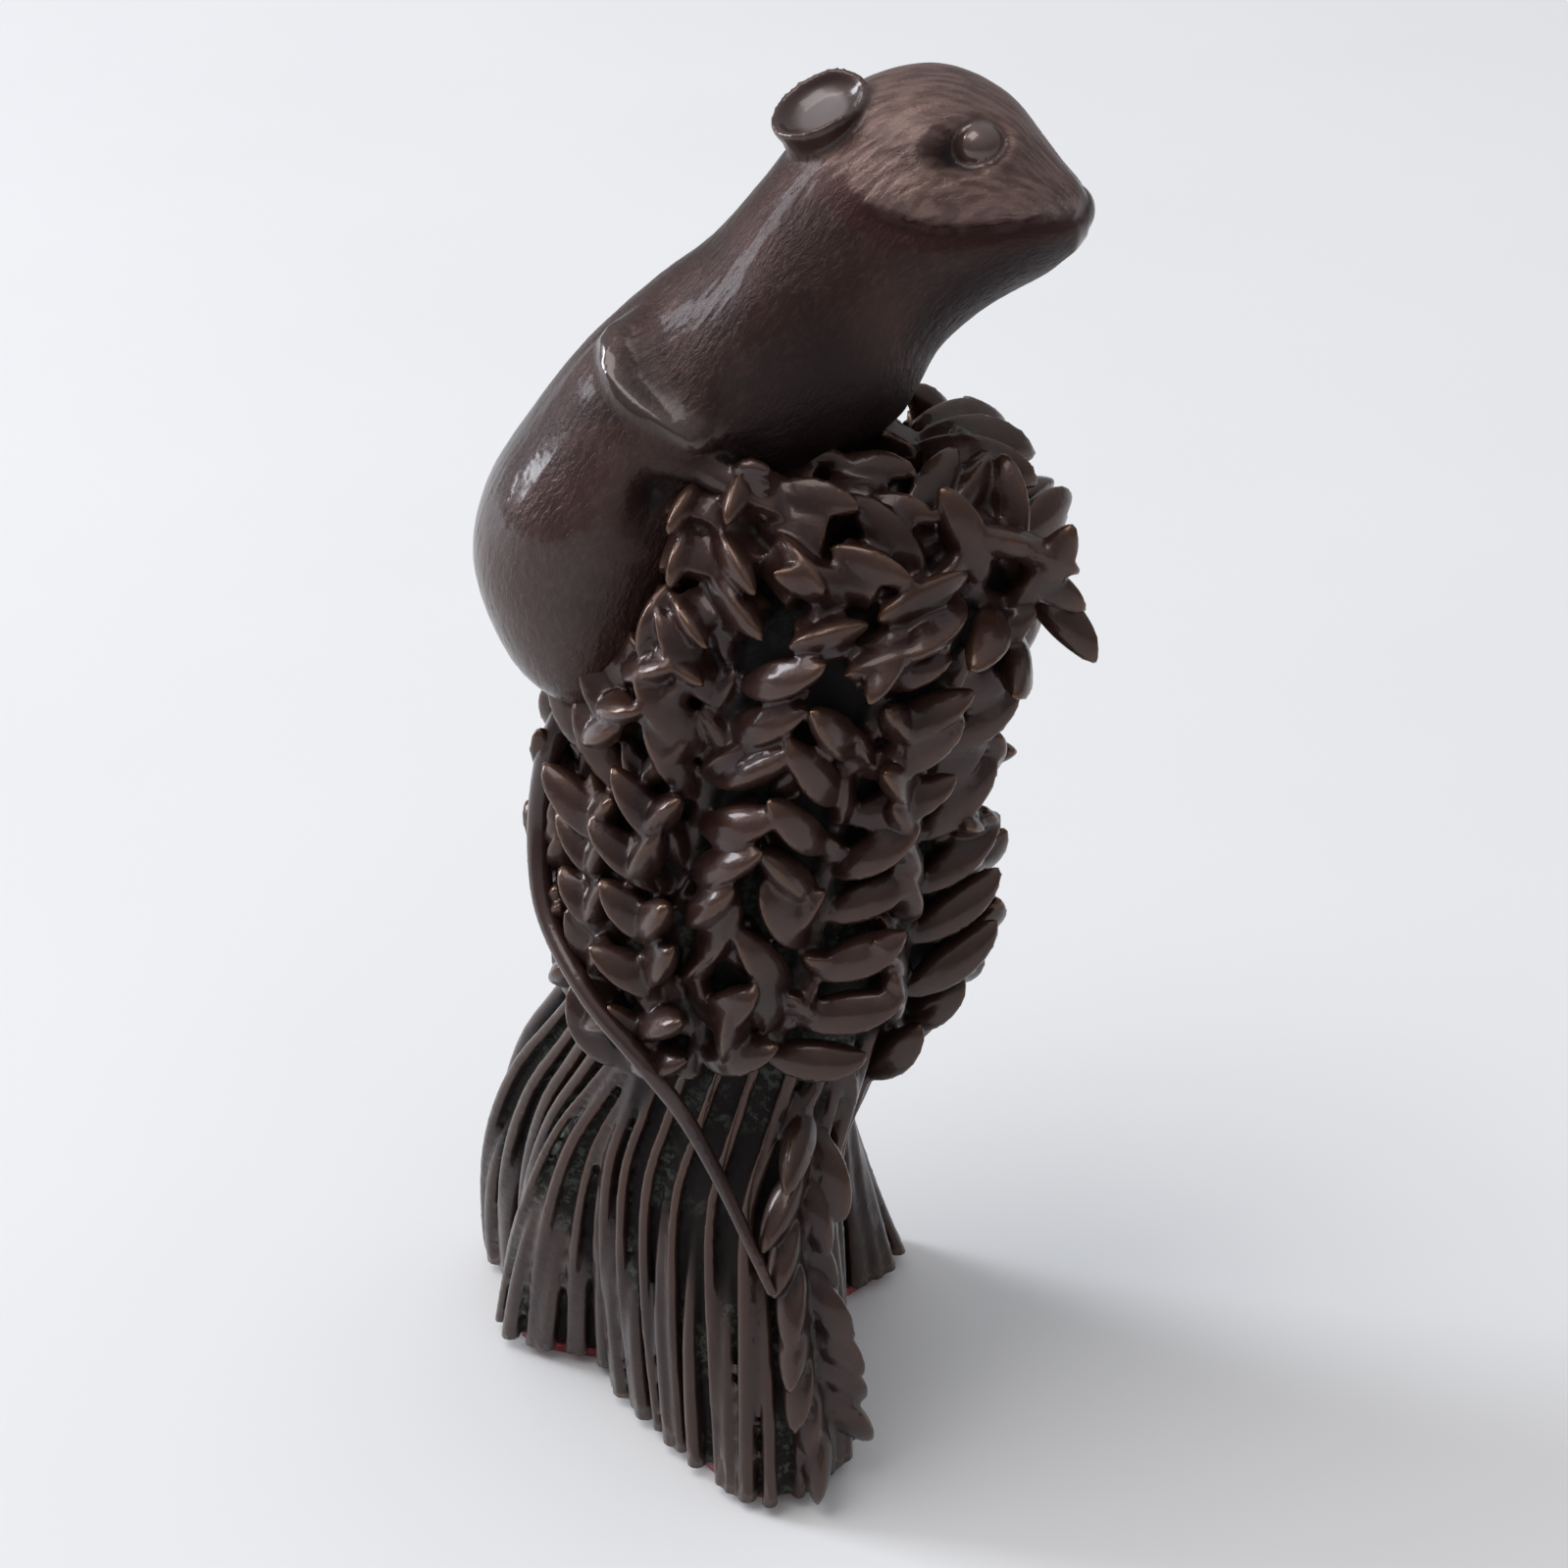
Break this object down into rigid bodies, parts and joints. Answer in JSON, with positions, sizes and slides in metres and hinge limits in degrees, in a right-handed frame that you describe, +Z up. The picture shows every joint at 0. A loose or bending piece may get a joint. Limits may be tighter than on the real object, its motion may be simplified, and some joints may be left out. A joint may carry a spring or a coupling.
{
  "type": "mouse sculpture",
  "caption": "Small patinated bronze of a harvest mouse perched on a standing sheaf of wheat, its tail hanging round the husks, with a felt pad under the splayed stalks.",
  "frame": {"origin": "on the ground, under the middle of the sheaf's foot, on the felt's lower face", "axes": "+Z up, +X the way the mouse looks, the side that the picture shows faces -Y"},
  "size_m": [0.0569, 0.0468, 0.1295],
  "materials": {
    "bronze": "cast bronze, dark brown patina under wax, edges rubbed golden brown, verdigris specks in the hollows",
    "felt": "crimson felt, slightly fuzzy"
  },
  "bodies": {
    "root": {"mouse_on_sheaf": "bronze", "felt_pad": "felt"}
  },
  "joints": []
}
